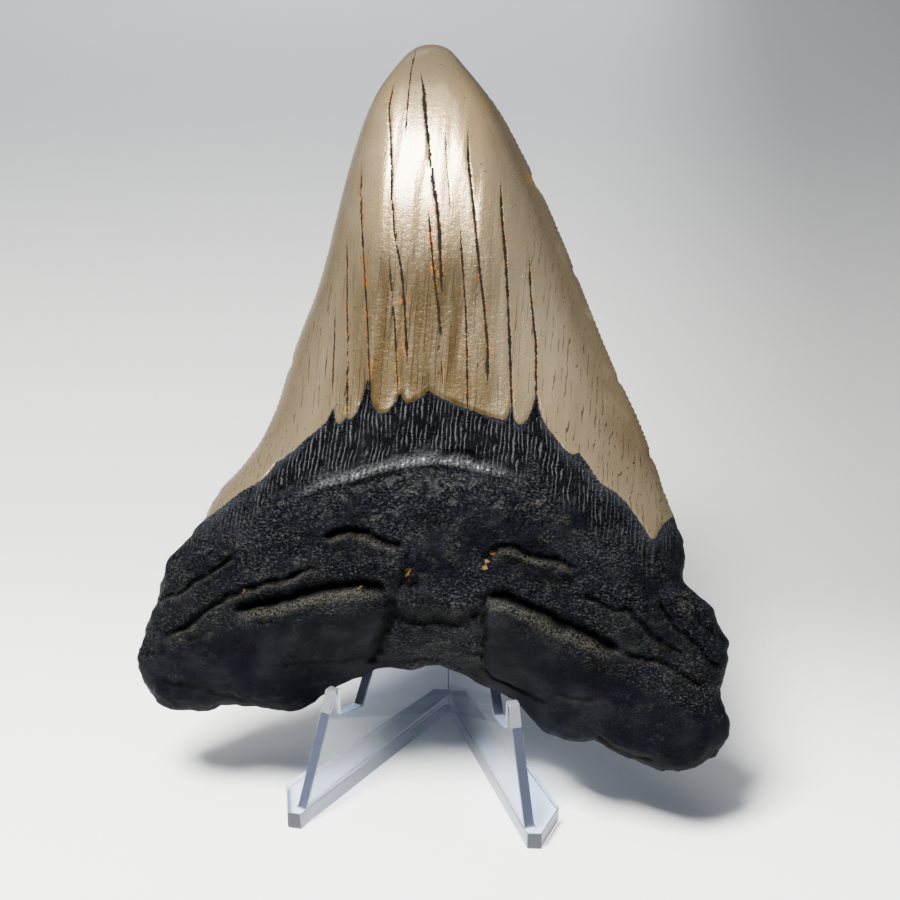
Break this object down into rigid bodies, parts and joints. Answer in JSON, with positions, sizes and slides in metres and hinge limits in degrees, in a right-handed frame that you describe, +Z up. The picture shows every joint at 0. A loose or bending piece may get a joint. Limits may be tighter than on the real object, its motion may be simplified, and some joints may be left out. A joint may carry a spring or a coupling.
{
  "type": "megalodon tooth on a display stand",
  "caption": "Large fossil shark tooth with a tan enamel crown and a black root, leaning on a clear moulded V-shaped display stand.",
  "frame": {"origin": "on the underside of the stand, in the solid web behind the corner where its two walls meet", "axes": "+Z up, -Y towards the open front of the stand and the rounded lingual face of the tooth, +X to the viewer's right"},
  "size_m": [0.1152, 0.075, 0.138],
  "materials": {
    "fossil_tooth": "polished tan enamel crown over a rough near-black root",
    "clear_acrylic": "clear moulded acrylic with bright flame-polished lips and faintly blue edges"
  },
  "bodies": {
    "root": {"tooth": "fossil_tooth", "stand": "clear_acrylic"}
  },
  "joints": []
}
